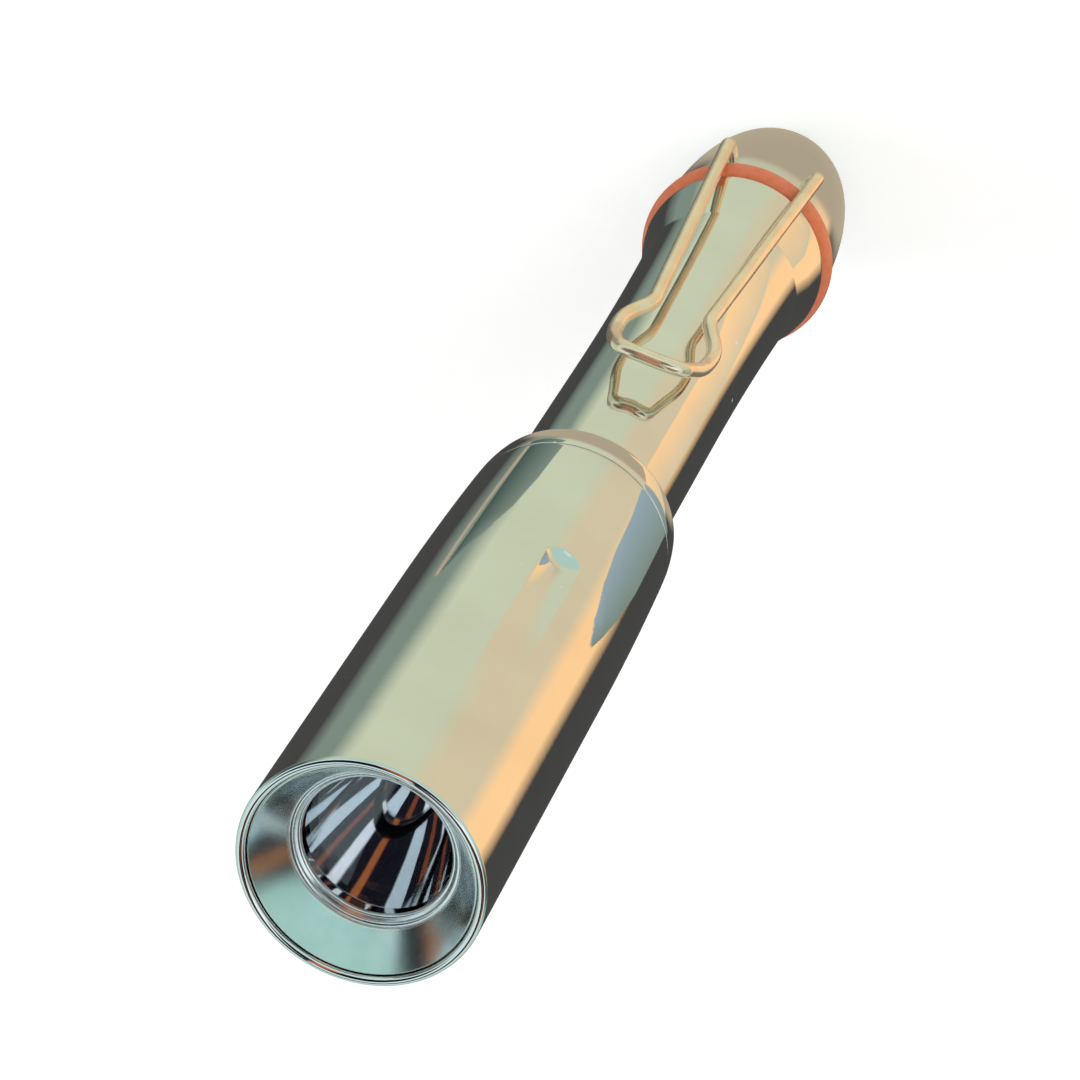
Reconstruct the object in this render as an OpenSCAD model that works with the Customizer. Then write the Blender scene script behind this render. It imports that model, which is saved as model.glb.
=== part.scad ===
// UV penlight for two AAA cells: polished steel head, tube and tail cap, wire pocket clip.
// The light stands on its tail: z = 0 is the flat tail face, and +z runs to the mouth.
// The clip lies on the -y side.

/* [Overall] */
// Outside diameter of the battery tube
tube_d = 13.6; // [13.2:0.1:14.2]

/* [Head] */
// Outside diameter of the head
head_d = 18; // [17.8:0.1:20]
// Length of the head shell, mouth rim to seam
head_len = 51.8; // [49:0.2:54]
// Diameter of the head at the seam, after its slow taper
head_rear_d = 17.3; // [16.8:0.1:17.6]
// Length of the taper in front of the seam
head_taper_len = 19; // [10:0.5:24]
// Depth of the bezel's edge below the mouth rim
bezel_drop = 0.3; // [0.2:0.05:0.5]
// Wall of the head around the bezel
rim_wall = 0.7; // [0.7:0.05:1]
// Grooves around the head
groove_count = 3; // [1:1:4]
// Radius of the ball end of each groove
groove_r = 2; // [1.6:0.1:2.2]
// Depth of a groove at its round rear end
groove_depth = 0.75; // [0.4:0.05:0.9]
// Length of a groove, from its round end to where it runs out
groove_len = 17.5; // [12:0.5:17.5]
// Distance from the mouth rim to a groove's round end
groove_end = 34.4; // [32:0.2:36]
// Turn of the first groove from the clip's middle
groove_turn = 16; // [0:1:90]

/* [Mouth] */
// Widest diameter of the bezel's inner lip
lip_d = 12.4; // [11.8:0.1:12.8]
// Depth of the lip below the mouth rim
lip_depth = 3.2; // [2.8:0.1:3.4]
// Diameter of the clear aperture
aperture_d = 10.9; // [10.4:0.1:11.2]
// Depth of the lens below the mouth rim
lens_depth = 4.7; // [4.5:0.1:5]
// Diameter of the lens
lens_d = 15; // [14.8:0.1:15.2]
// Thickness of the lens
lens_t = 1.5; // [1:0.1:2]
// Section diameter of the seal in front of the lens
lens_seal_d = 0.9; // [0.6:0.05:1]

/* [Light engine] */
// Length of the reflector
reflector_len = 10.1; // [9:0.1:10.5]
// Diameter of the reflector's hole at its bottom
reflector_hole_d = 3.8; // [3.2:0.1:4]
// Thickness of the reflector's front flange
reflector_flange_t = 0.8; // [0.5:0.1:1.2]
// Wall of the reflector at both ends of its bowl
reflector_wall = 1; // [0.8:0.1:1.2]
// Diameter of the emitter board
star_d = 11.2; // [10.6:0.1:12]
// Thickness of the emitter board
star_t = 1.6; // [1:0.1:2]
// Side of the emitter's square base
led_side = 3.45; // [3:0.05:3.5]
// Height of the emitter's base
led_base_t = 0.8; // [0.5:0.05:1]
// Height of the gasket that centres the reflector over the emitter
gasket_t = 2; // [1.6:0.1:2.4]
// Radius of the emitter's clear dome
dome_r = 1.3; // [1:0.05:1.5]
// Thickness of the pill's top plate
pill_plate_t = 2; // [1.5:0.1:2.5]
// Height of the driver's chamber in the pill
driver_room = 3.1; // [2.8:0.1:4]
// Thickness of the driver board and of the tail's contact board
board_t = 1; // [0.8:0.1:1.2]
// Diameter of the driver board
driver_d = 12.5; // [12:0.1:12.8]
// Diameter of each lead wire
lead_d = 0.8; // [0.6:0.1:1]
// Distance of each lead wire from the axis
lead_at = 4.6; // [4.4:0.1:4.7]

/* [Driver parts] */
// Side of the controller chip
chip_side = 3; // [2.5:0.1:3.2]
// Height of the controller chip
chip_h = 0.9; // [0.7:0.1:1.1]
// Diameter of the coil
coil_d = 3.8; // [3:0.1:3.8]
// Height of the coil
coil_h = 2; // [1.5:0.1:2.2]
// Length of each capacitor
capacitor_len = 1.6; // [1:0.1:1.8]
// Width and height of each capacitor
capacitor_w = 0.8; // [0.5:0.1:1]
// Distance between the chip or the coil and a capacitor
part_gap = 0.7; // [0.4:0.1:0.8]

/* [Tube] */
// Diameter of the battery bore
bore_d = 10.8; // [10.7:0.05:11]
// Length of the collar between the seam and the bare tube
collar_len = 3.4; // [2:0.1:5]
// Diameter of the collar at its rear edge
collar_rear_d = 16.6; // [16:0.1:16.8]
// Diameter of the threaded spigot that enters the head
front_spigot_d = 14.3; // [14.1:0.1:14.4]
// Section diameter of the seal between tube and head
head_seal_d = 0.96; // [0.8:0.02:1]
// Length of the slow flare towards the tail
flare_len = 28; // [18:0.5:30]
// Diameter where the slow flare ends and the shoulder starts
flare_d = 14.8; // [14.4:0.1:15.4]
// Length of the steeper shoulder behind the flare
shoulder_len = 5.2; // [3.5:0.1:6]
// Diameter of the flange in front of the tail seal
flange_d = 17; // [16.4:0.1:17.2]
// Width of the flange's lip
flange_lip = 0.9; // [0.5:0.1:1.2]

/* [Cells] */
// Diameter of an AAA cell
cell_d = 10.5; // [10.2:0.05:10.5]
// Length of an AAA cell over its button
cell_len = 44.5; // [44:0.1:44.5]
// Diameter of a cell's positive button
cell_button_d = 3.8; // [3:0.1:3.8]
// Height of a cell's positive button
cell_button_h = 0.9; // [0.8:0.1:1.2]

/* [Tail] */
// Diameter of the tail cap at its front face
cap_d = 17; // [16.8:0.1:17.4]
// Length of the cap's straight band in front of its dome
cap_band_len = 1.3; // [1:0.1:4]
// Diameter of the flat tail face
tail_face_d = 9.2; // [9:0.1:10.4]
// Diameter of the tube's rear threaded spigot
rear_spigot_d = 13; // [12.8:0.1:13.2]
// Length of the rear spigot inside the cap
rear_spigot_len = 5; // [4:0.1:5]
// Section diameter of the tail seal
tail_seal_d = 2.8; // [2.6:0.05:2.9]
// Gap between flange and cap that the tail seal fills
tail_seal_gap = 3; // [2.95:0.05:3.2]
// Diameter of the tail button
button_d = 6.6; // [6:0.1:7]
// Recess of the tail button below the tail face
button_recess = 0.3; // [0.2:0.05:0.6]
// Travel of the tail button
button_travel = 1.2; // [0.8:0.1:1.3]
// Diameter of the switch module's chamber
switch_room_d = 11.2; // [11:0.1:11.4]
// Height of the switch module
switch_h = 4.8; // [4.4:0.1:4.8]
// Thickness of the cap's floor around the button
floor_t = 2.2; // [1.8:0.1:2.2]
// Height of the switch retainer
switch_retainer_h = 2; // [1.2:0.1:2]
// Diameter of the spring wire on both boards
spring_wire_d = 0.6; // [0.4:0.05:0.65]
// Width of both springs at their free ends, between wire middles
spring_tip_d = 2.6; // [2.2:0.1:3]
// Height of the driver's spring under load
driver_spring_len = 3; // [2.8:0.1:3.4]
// Width of the driver's spring at its board, between wire middles
driver_spring_d = 6.8; // [6:0.1:7.2]
// Height of the tail's spring under load
tail_spring_len = 3.8; // [3.6:0.1:5]
// Width of the tail's spring at its board, between wire middles
tail_spring_d = 7.6; // [7:0.1:8]

/* [Clip] */
// Diameter of the clip's wire
wire_d = 1.3; // [1:0.05:1.35]
// Distance of the clip's wire ends behind the cap's front face
clip_foot_depth = 2.1; // [1.9:0.1:2.7]
// Half the distance between the legs at their feet
clip_foot_x = 4.5; // [4.1:0.1:4.8]
// Half the distance between the legs at the waist
clip_waist_x = 2.5; // [2.2:0.1:3]
// Half the distance between the ears, at the crossing of their sides
clip_ear_x = 4; // [3.6:0.1:4.8]
// Half the length of the front bar
clip_bar_x = 3.8; // [3:0.1:4]
// Clip length from its feet to its front bar
clip_len = 46.8; // [42:0.2:50]
// Length of the ears, waist to bar
clip_ear_len = 12.6; // [10:0.2:14]
// Height of the ears' widest place over the waist
clip_ear_rise = 4; // [3:0.1:5]
// Gap between the front bar and the tube
clip_bar_gap = 1.5; // [0.5:0.1:2.5]
// Gap between waist and tube
clip_waist_gap = 0.5; // [0.4:0.05:1]
// Gap between the legs and the tail seal
clip_seal_gap = 0.3; // [0.3:0.05:0.6]
// Depth of each wire end in the cap
clip_pin_len = 1.3; // [1:0.1:1.4]

/* [Fits] */
// Radial gap in threads and sliding fits
fit_gap = 0.05; // [0.03:0.01:0.08]
// Gap around the wire ends in their holes, which lets the clip flex
pin_gap = 0.1; // [0.08:0.01:0.14]
// Gap between faces of pieces that turn or press apart
face_gap = 0.1; // [0.05:0.01:0.15]
// Small bevel on turned edges
edge = 0.15; // [0.1:0.05:0.2]

/* [Hidden] */
$fn = 96;
// Steps of an arc in a turned profile
ARC_STEPS = 8;
// Sides of a swept wire, and rings of one spring turn
WIRE_SIDES = 8;
TURN_RINGS = 8;
// Steps of each bend in the clip
BEND_STEPS = 4;

// Heights of the tail's stack, up to the front face of the cap
button_room = 2.2;
ledge_z = floor_t + button_room;
contact_z = ledge_z + switch_h;
contact_top_z = contact_z + board_t;
retainer_top_z = contact_top_z + switch_retainer_h;
cap_bore_z = retainer_top_z + face_gap;
tube_rear_z = cap_bore_z + 2 * face_gap;
cap_len = tube_rear_z + rear_spigot_len;
cap_dome_len = cap_len - cap_band_len;
clip_foot_z = cap_len - clip_foot_depth;

// Both cells stand on the tail's spring, and the driver's spring stands on them
rear_cell_z = contact_top_z + tail_spring_len;
front_cell_z = rear_cell_z + cell_len;
driver_z = front_cell_z + cell_len + driver_spring_len;

// Heights of the light engine, from the driver to the mouth
driver_retainer_h = 1.4;
pill_end_z = driver_z - driver_retainer_h;
tube_end_z = pill_end_z - face_gap;
driver_top_z = driver_z + board_t;
chamber_z = driver_top_z + driver_room;
pill_z = chamber_z + pill_plate_t;
star_z = pill_z + star_t;
gasket_z = star_z + gasket_t;
reflector_z = gasket_z + reflector_len;
flange_under_z = reflector_z - reflector_flange_t;
lens_z = reflector_z + lens_t;
total_len = lens_z + lens_depth;

// Heights of the outside
seam_z = total_len - head_len;
collar_z = seam_z - collar_len;
flange_z = cap_len + tail_seal_gap;
shoulder_z = flange_z + flange_lip;
flare_z = shoulder_z + shoulder_len;
flare_top_z = flare_z + flare_len;

// Radii that more than one piece uses
head_r = head_d / 2;
head_rear_r = head_rear_d / 2;
collar_rear_r = collar_rear_d / 2;
bezel_bore_r = head_r - rim_wall;
rim_round = rim_wall / 2;
bezel_r = bezel_bore_r - fit_gap;
lens_r = lens_d / 2;
lens_seal_ring_r = lens_r - 0.9;
reflector_foot_r = reflector_hole_d / 2 + reflector_wall + 0.5;
head_bore_r = front_spigot_d / 2 + fit_gap;
reflector_room_r = head_bore_r - 0.3;
lead_hole_r = lead_d / 2 + 0.15;
insert_r = driver_d / 2;
tube_r = tube_d / 2;
head_seal_ring_r = head_bore_r - (fit_gap + head_seal_d) / 2;
seal_seat_r = rear_spigot_d / 2 - 0.2;
tail_seal_ring_r = seal_seat_r + tail_seal_d / 2;
cap_r = cap_d / 2;
ledge_r = switch_room_d / 2 - 0.6;
module_r = switch_room_d / 2 - fit_gap;
button_r = button_d / 2;
plunger_r = 1.5;
plunger_reach = 2.6;
wire_r = wire_d / 2;

// The legs stand off the tail seal, and their ends point at the axis
leg_stand_r = tail_seal_ring_r + tail_seal_d / 2 + wire_r + clip_seal_gap;
leg_turn = asin(clip_foot_x / leg_stand_r);

// Points of part of an ellipse around the centre c
function arc(c, rx, ry, from, to, n = ARC_STEPS) =
  [for (i = [0:n]) let (t = from + (to - from) * i / n) [c[0] + rx * cos(t), c[1] + ry * sin(t)]];

// Points of a curve from a to b that leaves a at a given slope, radius over height,
// and then swings away as a parabola
function swing(a, b, slope = 0, n = ARC_STEPS) =
  let (h = b[1] - a[1], rest = b[0] - a[0] - slope * abs(h))
  [for (i = [0:n]) let (k = i / n) [a[0] + slope * abs(h) * k + rest * k * k, a[1] + h * k]];

function reversed(list) = [for (i = [len(list) - 1:-1:0]) list[i]];

module turned(points) {
  rotate_extrude() polygon(points);
}

module disc(r, z0, z1) {
  translate([0, 0, z0]) cylinder(r = r, h = z1 - z0);
}

module ring(r_out, r_in, z0, z1) {
  turned([[r_in, z0], [r_out, z0], [r_out, z1], [r_in, z1]]);
}

module torus(ring_r, section_d, z) {
  rotate_extrude() translate([ring_r, z]) circle(d = section_d, $fn = 48);
}

function unit(v) = v / norm(v);

// A polyline with each inner corner replaced by a parabola that starts cut[i] before it
function rounded(p, cut) =
  [for (i = [0:len(p) - 1])
    let (
      inner = i > 0 && i < len(p) - 1,
      a = inner ? p[i] + cut[i] * unit(p[i - 1] - p[i]) : p[i],
      b = inner ? p[i] + cut[i] * unit(p[i + 1] - p[i]) : p[i])
    for (k = [0:inner ? BEND_STEPS : 0])
      let (t = k / BEND_STEPS) (1 - t) * (1 - t) * a + 2 * t * (1 - t) * p[i] + t * t * b];

function tangent(p, i) = unit(p[min(i + 1, len(p) - 1)] - p[max(i - 1, 0)]);

// One side vector for each point, carried along the path without twist
function carried(p, i, side, done) =
  i == len(p) ? done
  : let (t = tangent(p, i), s = unit(side - (side * t) * t)) carried(p, i + 1, s, concat(done, [s]));

// Closed round wire of radius r along the points p
module wire(p, r, side, n = WIRE_SIDES) {
  m = len(p);
  s = carried(p, 0, side, []);
  skin = [for (i = [0:m - 1]) let (w = cross(tangent(p, i), s[i]))
    for (k = [0:n - 1]) p[i] + r * (cos(360 * k / n) * s[i] + sin(360 * k / n) * w)];
  walls = [for (i = [0:m - 2]) for (k = [0:n - 1])
    let (a = i * n + k, b = i * n + (k + 1) % n)
    each [[a, a + n, b], [b, a + n, b + n]]];
  ends = [for (k = [1:n - 2])
    each [[0, k, k + 1], [(m - 1) * n, (m - 1) * n + k + 1, (m - 1) * n + k]]];
  polyhedron(points = skin, faces = concat(walls, ends));
}

// Conical coil from a = [radius, height] to b, whose first and last half turns lie flat
function coil(a, b, turns) =
  let (n = turns * TURN_RINGS, flat = TURN_RINGS / 2)
  [for (i = [0:n])
    let (r = a[0] + (b[0] - a[0]) * i / n, k = min(max((i - flat) / (n - 2 * flat), 0), 1))
    [r * cos(360 * i / TURN_RINGS), r * sin(360 * i / TURN_RINGS), a[1] + (b[1] - a[1]) * k]];

// Least clear distance between stretches of a coil that lie over half a turn apart
function coil_gap(p, d) =
  min([for (i = [0:len(p) - 1]) for (j = [i + TURN_RINGS / 2 + 1:1:len(p) - 1])
    norm(p[i] - p[j])]) - d;

driver_coil = coil([driver_spring_d / 2, driver_z - spring_wire_d / 2],
  [spring_tip_d / 2, driver_z - driver_spring_len + spring_wire_d / 2 + face_gap], 2);
tail_coil = coil([tail_spring_d / 2, contact_top_z + spring_wire_d / 2],
  [spring_tip_d / 2, rear_cell_z - spring_wire_d / 2 - face_gap], 3);
union() {
  echo(driver_spring_gap = coil_gap(driver_coil, spring_wire_d));
  echo(tail_spring_gap = coil_gap(tail_coil, spring_wire_d));
}

// A ball-ended cut that is deepest at its rear and runs out towards the mouth.
// The quarter turn keeps the cutter's seam off the head's surface.
module groove() {
  lift = head_r + groove_r - groove_depth;
  lean = atan(groove_depth / groove_len);
  top = groove_len * 1.3;
  translate([0, -lift, total_len - groove_end]) rotate([lean, 0, 0])
    rotate(90) turned(concat(arc([0, 0], groove_r, groove_r, -90, 0), [[groove_r, top], [0, top]]));
}

module head_shell() color("silver") {
  side = swing([head_r, seam_z + head_taper_len], [head_rear_r, seam_z + edge]);
  rim = arc([head_r - rim_round, total_len - rim_round], rim_round, rim_round, 0, 180);
  difference() {
    turned(concat(
      [[head_bore_r, seam_z], [head_rear_r - edge, seam_z]], reversed(side), rim,
      [[bezel_bore_r, lens_z], [lens_r + fit_gap, lens_z], [lens_r + fit_gap, flange_under_z],
        [reflector_room_r, flange_under_z], [reflector_room_r, pill_z], [head_bore_r, pill_z]]));
    for (i = [0:groove_count - 1]) rotate(-groove_turn + i * 360 / groove_count) groove();
  }
}

// Screwed ring with the flared mouth, whose stepped lip frames the lens
module bezel_ring() color("gainsboro") {
  top_z = total_len - bezel_drop;
  lip_z = total_len - lip_depth;
  lip_r = lip_d / 2;
  groove_half = lens_seal_d / 2 + 0.02;
  inner = lens_seal_ring_r - groove_half;
  outer = lens_seal_ring_r + groove_half;
  groove_top = lens_z + lens_seal_d + 0.02;
  funnel = swing([bezel_r - edge, top_z], [lip_r, lip_z], -0.4);
  turned(concat(
    [[aperture_d / 2, lens_z], [inner, lens_z], [inner, groove_top], [outer, groove_top],
      [outer, lens_z], [bezel_r, lens_z], [bezel_r, top_z - edge]],
    funnel,
    [[lip_r - 0.25, lip_z], [lip_r - 0.35, lip_z - 0.5], [aperture_d / 2 + 0.15, lip_z - 0.65],
      [aperture_d / 2, lip_z - 0.8]]));
}

module lens_seal() color("dimgray") torus(lens_seal_ring_r, lens_seal_d, lens_z + lens_seal_d / 2);

module front_lens() color("lightcyan") turned([[0, reflector_z], [lens_r, reflector_z],
  [lens_r, lens_z - edge], [lens_r - edge, lens_z], [0, lens_z]]);

// Smooth bowl whose focus lies at the emitter
module reflector() color("whitesmoke") {
  mouth_r = aperture_d / 2 + 0.1;
  hole_r = reflector_hole_d / 2;
  steps = 2 * ARC_STEPS;
  bowl = [for (i = [0:steps]) let (k = i / steps)
    [sqrt(mouth_r * mouth_r * (1 - k) + hole_r * hole_r * k), reflector_z - reflector_len * k]];
  turned(concat(bowl,
    [[reflector_foot_r, gasket_z], [mouth_r + reflector_wall, flange_under_z],
      [lens_r, flange_under_z], [lens_r, reflector_z]]));
}

module emitter_gasket() color("white") difference() {
  disc(reflector_foot_r, star_z, gasket_z);
  translate([0, 0, star_z]) cube([led_side + 0.1, led_side + 0.1, 2 * led_base_t + 0.1], center = true);
  disc(reflector_hole_d / 2, star_z - 1, gasket_z + 1);
}

module led_base() color("lemonchiffon") translate([0, 0, star_z + led_base_t / 2])
  cube([led_side, led_side, led_base_t], center = true);

module led_dome() color("lavender")
  turned(concat([[0, star_z + led_base_t]], arc([0, star_z + led_base_t], dome_r, dome_r, 0, 90)));

// Two holes that let the lead wires through
module lead_holes(z0, z1) {
  for (x = [-lead_at, lead_at]) translate([x, 0, 0]) disc(lead_hole_r, z0 - 1, z1 + 1);
}

module star_board() color("darkslategray") difference() {
  disc(star_d / 2, pill_z, star_z);
  lead_holes(pill_z, star_z);
}

module pill() color("goldenrod") difference() {
  disc(head_bore_r - fit_gap, pill_end_z, pill_z);
  disc(insert_r - 0.6, driver_z, chamber_z);
  disc(insert_r + fit_gap, pill_end_z - 1, driver_top_z);
  lead_holes(chamber_z, pill_z);
}

module lead_wires() color("crimson") for (s = [-1, 1]) {
  translate([s * lead_at, 0, 0]) disc(lead_d / 2, driver_top_z, star_z + lead_d);
  translate([s * (reflector_foot_r + 0.1), 0, star_z + lead_d / 2]) rotate([0, s * 90, 0])
    cylinder(d = lead_d - 0.1, h = lead_at - reflector_foot_r - 0.1);
}

module driver_board() color("darkgreen") disc(insert_r, driver_z, driver_top_z);

// Controller chip, coil and two capacitors on the driver board
module driver_parts() color("black") translate([0, 0, driver_top_z]) {
  translate([-chip_side / 2, part_gap, 0]) cube([chip_side, chip_side, chip_h]);
  translate([0, -part_gap - coil_d / 2, 0]) cylinder(d = coil_d, h = coil_h);
  for (s = [-1, 1]) translate([s * (coil_d / 2 + part_gap + capacitor_w / 2), 0, capacitor_w / 2])
    cube([capacitor_w, capacitor_len, capacitor_w], center = true);
}

module driver_retainer() color("goldenrod")
  ring(insert_r, insert_r - 1.3, pill_end_z, driver_z);

module driver_spring() color("gold") wire(driver_coil, spring_wire_d / 2, [0, 0, 1], 6);

// Tube with its collar, both threaded spigots, the flare, the conical shoulder and the flange
module battery_tube() color("silver") {
  spigot_r = front_spigot_d / 2;
  seal_groove_r = head_seal_ring_r - head_seal_d / 2;
  seal_groove_z = seam_z + 1.2;
  flare_r = flare_d / 2;
  flange_r = flange_d / 2;
  rear_r = rear_spigot_d / 2;
  flare = swing([tube_r, flare_top_z], [flare_r, flare_z]);
  collar = swing([head_rear_r - edge, seam_z - face_gap], [collar_rear_r, collar_z + edge], 0);
  turned(concat(
    [[bore_d / 2, tube_rear_z], [rear_r - edge, tube_rear_z], [rear_r, tube_rear_z + edge],
      [rear_r, cap_len + face_gap], [seal_seat_r, cap_len + face_gap], [seal_seat_r, flange_z],
      [flange_r - edge, flange_z], [flange_r, flange_z + edge], [flange_r, shoulder_z - edge],
      [flange_r - edge, shoulder_z]],
    reversed(flare),
    [[tube_r, collar_z], [collar_rear_r - edge, collar_z]],
    reversed(collar),
    [[spigot_r, seam_z - face_gap], [spigot_r, seal_groove_z], [seal_groove_r, seal_groove_z],
      [seal_groove_r, seal_groove_z + head_seal_d + 0.04],
      [spigot_r, seal_groove_z + head_seal_d + 0.04],
      [spigot_r, tube_end_z - edge], [spigot_r - edge, tube_end_z], [bore_d / 2, tube_end_z]]));
}

module head_seal() color("dimgray")
  torus(head_seal_ring_r, head_seal_d, seam_z + 1.2 + head_seal_d / 2 + 0.02);

// One AAA cell standing on its flat negative end at height z
module cell(z) {
  r = cell_d / 2;
  b = cell_button_d / 2;
  top = z + cell_len;
  shoulder = top - cell_button_h;
  turned([[0, z], [r - 0.3, z], [r, z + 0.3], [r, shoulder - 0.5], [r - 0.5, shoulder],
    [b, shoulder], [b, top - edge], [b - edge, top], [0, top]]);
}

module front_cell() color("royalblue") cell(front_cell_z);

module rear_cell() color("royalblue") cell(rear_cell_z);

module tail_seal() color("chocolate")
  torus(tail_seal_ring_r, tail_seal_d, cap_len + tail_seal_gap / 2);

// Domed cap with the spigot's thread, the switch chamber, the button hole and the clip's two holes
module tail_cap() color("silver") {
  face_r = tail_face_d / 2;
  dome = arc([face_r, cap_dome_len], cap_r - face_r, cap_dome_len, -90, 0, 2 * ARC_STEPS);
  thread_r = rear_spigot_d / 2 + fit_gap;
  hole_r = button_r + 2 * fit_gap;
  room_r = switch_room_d / 2;
  difference() {
    turned(concat(
      [[hole_r, floor_t], [hole_r, 0]], dome,
      [[cap_r, cap_len - edge], [cap_r - edge, cap_len], [thread_r, cap_len],
        [thread_r, cap_bore_z], [room_r, cap_bore_z], [room_r, ledge_z], [ledge_r, ledge_z],
        [ledge_r, floor_t]]));
    for (s = [-1, 1]) rotate(s * leg_turn) translate([0, -cap_r, clip_foot_z]) rotate([90, 0, 0])
      translate([0, 0, -clip_pin_len - face_gap])
        cylinder(r = wire_r + pin_gap, h = clip_pin_len + 1);
  }
}

module switch_retainer() color("goldenrod")
  ring(module_r, module_r - 1.3, contact_top_z, retainer_top_z);

module contact_board() color("darkgreen") disc(module_r, contact_z, contact_top_z);

module tail_spring() color("gold") wire(tail_coil, spring_wire_d / 2, [0, 0, 1], 6);

module switch_body() color("black") difference() {
  disc(module_r, ledge_z, contact_z);
  disc(plunger_r + fit_gap, ledge_z - 1, ledge_z + plunger_reach + button_travel + 0.2);
}

module switch_plunger() color("white") disc(plunger_r, floor_t + fit_gap + 0.75, ledge_z + plunger_reach);

// Dished button with the flange that keeps it behind the cap's floor
module tail_button() color("gainsboro") {
  flange_z0 = floor_t + fit_gap;
  dish = swing([0, button_recess + 0.3], [button_r - 0.8, button_recess]);
  turned(concat(dish,
    [[button_r - edge, button_recess], [button_r, button_recess + edge], [button_r, flange_z0],
      [button_r + 1, flange_z0], [button_r + 1, flange_z0 + 0.75], [0, flange_z0 + 0.75]]));
}

// Bent spring wire: both ends enter the cap, the legs narrow to a waist,
// swing out to two ears and rise to the bar, which stands off the tube
module pocket_clip() color("wheat") {
  waist_z = clip_foot_z + clip_len - clip_ear_len;
  ear_z = waist_z + clip_ear_rise;
  bar_z = clip_foot_z + clip_len;
  waist_y = tube_r + clip_waist_gap + wire_r;
  bar_y = tube_r + clip_bar_gap + wire_r;
  pin_r = cap_r - clip_pin_len;
  half = [
    [pin_r * sin(leg_turn), -pin_r * cos(leg_turn), clip_foot_z],
    [leg_stand_r * sin(leg_turn), -leg_stand_r * cos(leg_turn), clip_foot_z],
    [clip_waist_x, -waist_y, waist_z],
    [clip_ear_x, -waist_y, ear_z],
    [clip_bar_x, -bar_y, bar_z]];
  cut = [0, 1.1, 1.4, 2.4, 1.4];
  path = concat(half, [for (p = reversed(half)) [-p[0], p[1], p[2]]]);
  wire(rounded(path, concat(cut, reversed(cut))), wire_r, [1, 0, 0], 12);
}

head_shell();
bezel_ring();
lens_seal();
front_lens();
reflector();
emitter_gasket();
led_base();
led_dome();
star_board();
pill();
lead_wires();
driver_board();
driver_parts();
driver_retainer();
driver_spring();
battery_tube();
head_seal();
front_cell();
rear_cell();
tail_seal();
tail_cap();
switch_retainer();
contact_board();
tail_spring();
switch_body();
switch_plunger();
tail_button();
pocket_clip();
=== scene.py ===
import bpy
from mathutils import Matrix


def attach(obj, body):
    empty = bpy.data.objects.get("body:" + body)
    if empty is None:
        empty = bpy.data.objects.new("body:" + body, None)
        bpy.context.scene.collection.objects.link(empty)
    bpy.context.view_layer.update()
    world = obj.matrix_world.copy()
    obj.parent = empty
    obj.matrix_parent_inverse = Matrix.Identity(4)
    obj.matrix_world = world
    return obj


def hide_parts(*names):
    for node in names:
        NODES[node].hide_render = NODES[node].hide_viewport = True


bl_info = {
    "name": "Polished steel penlight",
    "version": (1, 0, 0),
    "blender": (4, 5, 0),
    "location": "3D View > Sidebar > Penlight",
    "description": "Dresses the packed penlight with smooth polished surfaces, a wire clip and a studio",
    "category": "Object",
}

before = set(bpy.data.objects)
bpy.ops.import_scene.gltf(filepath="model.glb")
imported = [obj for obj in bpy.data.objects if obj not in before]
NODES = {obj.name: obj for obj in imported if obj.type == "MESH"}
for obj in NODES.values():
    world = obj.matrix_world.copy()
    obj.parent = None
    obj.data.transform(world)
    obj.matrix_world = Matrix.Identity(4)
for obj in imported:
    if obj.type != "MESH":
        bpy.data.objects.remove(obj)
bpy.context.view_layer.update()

import math

import bpy
import numpy as np
from mathutils import Matrix, Vector

MM = 0.001


# Profiles: arrays of (radius, height) in millimetres, walked with the solid on the left

def arc(centre, radius, start, end, steps=10):
    """Points of a circle or ellipse part: centre plus radius times (cos, sin) of evenly spaced degrees."""
    t = np.radians(np.linspace(start, end, steps + 1))
    rx, ry = np.broadcast_to(radius, 2)
    return np.column_stack([centre[0] + rx * np.cos(t), centre[1] + ry * np.sin(t)])


def swing(a, b, slope=0.0, steps=24):
    """Parabola over height that leaves a with the given slope, radius over height, and ends in b."""
    k = np.linspace(0, 1, steps + 1)
    h = b[1] - a[1]
    rest = b[0] - a[0] - slope * abs(h)
    return np.column_stack([a[0] + slope * abs(h) * k + rest * k * k, a[1] + h * k])


def eased(points, radius, steps=5):
    """Closed profile with its corners rounded: each corner that turns by over 12 degrees becomes a parabola
    between the two points that lie radius before and after it, but never past 0.45 of a side."""
    p = np.asarray(points, float)
    before, after = np.roll(p, 1, 0) - p, np.roll(p, -1, 0) - p
    lb, la = np.linalg.norm(before, axis=1), np.linalg.norm(after, axis=1)
    ub, ua = before / lb[:, None], after / la[:, None]
    turn = np.degrees(np.arccos(np.clip(-(ub * ua).sum(1), -1, 1)))
    cut = np.minimum(radius, 0.45 * np.minimum(lb, la))[:, None]
    t = np.linspace(0, 1, steps + 1)[:, None]
    out = []
    for i in range(len(p)):
        if turn[i] < 12 or p[i, 0] < 1e-9:
            out.append(p[i:i + 1])
            continue
        a, b = p[i] + cut[i] * ub[i], p[i] + cut[i] * ua[i]
        out.append((1 - t) ** 2 * a + 2 * t * (1 - t) * p[i] + t * t * b)
    return np.vstack(out)


def spread(profile, longest):
    """The profile with points added so that no side is longer than the given length."""
    out = []
    for a, b in zip(profile, np.roll(profile, -1, 0)):
        n = max(1, int(np.ceil(np.linalg.norm(b - a) / longest)))
        out.append(a + (b - a) * np.linspace(0, 1, n, endpoint=False)[:, None])
    return np.vstack(out)


# Meshes

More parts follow.
